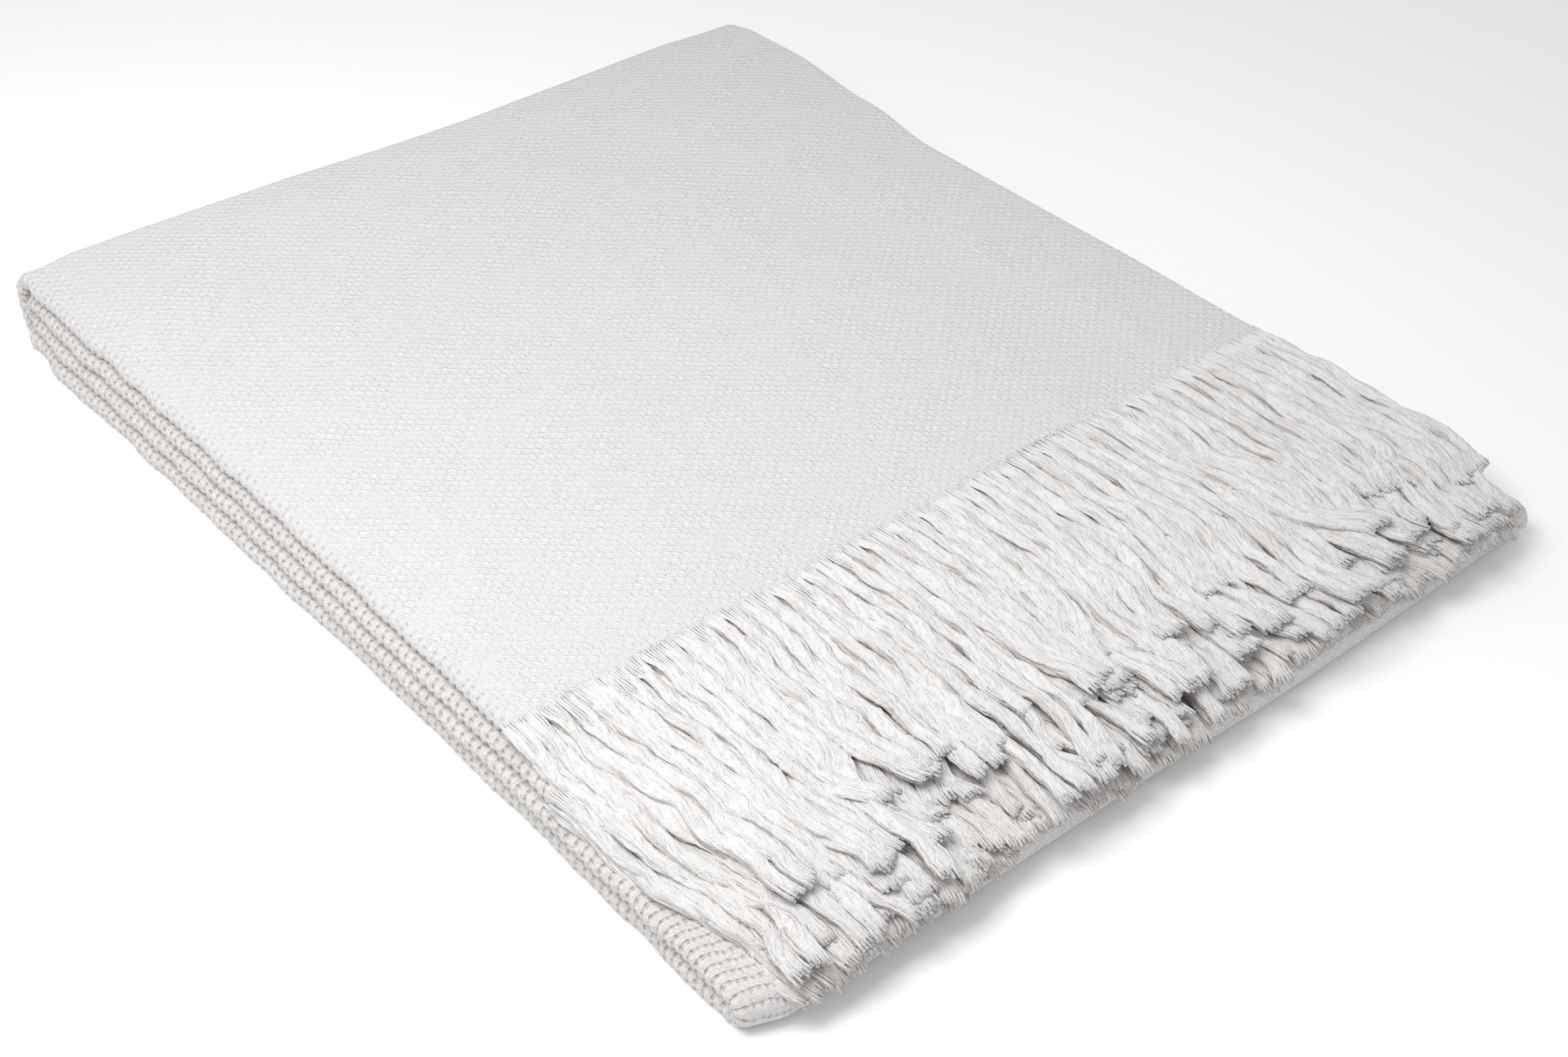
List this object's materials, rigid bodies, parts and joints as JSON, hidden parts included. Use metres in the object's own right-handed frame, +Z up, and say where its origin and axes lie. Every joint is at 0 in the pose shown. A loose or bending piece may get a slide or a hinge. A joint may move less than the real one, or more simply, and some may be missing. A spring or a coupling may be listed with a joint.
{
  "type": "folded cotton blanket",
  "caption": "Woven cotton throw folded into a flat stack, with round side folds and a loose twisted fringe spread over its near end, to lie on a bed, bench or shelf.",
  "frame": {"origin": "on the floor, under the middle of the stack and its fringe", "axes": "+X across the stack, away from its round side folds; +Y along it, away from the fringe; +Z up"},
  "size_m": [0.4502, 0.5876, 0.0345],
  "materials": {
    "woven_cotton": "undyed white cotton, soft loose weave, matt",
    "fringe_yarn": "soft white cotton yarn, gathered and twisted, matt"
  },
  "bodies": {
    "root": {"blanket_cloth": "woven_cotton", "fringe_upper": "fringe_yarn", "fringe_lower": "fringe_yarn"}
  },
  "joints": []
}
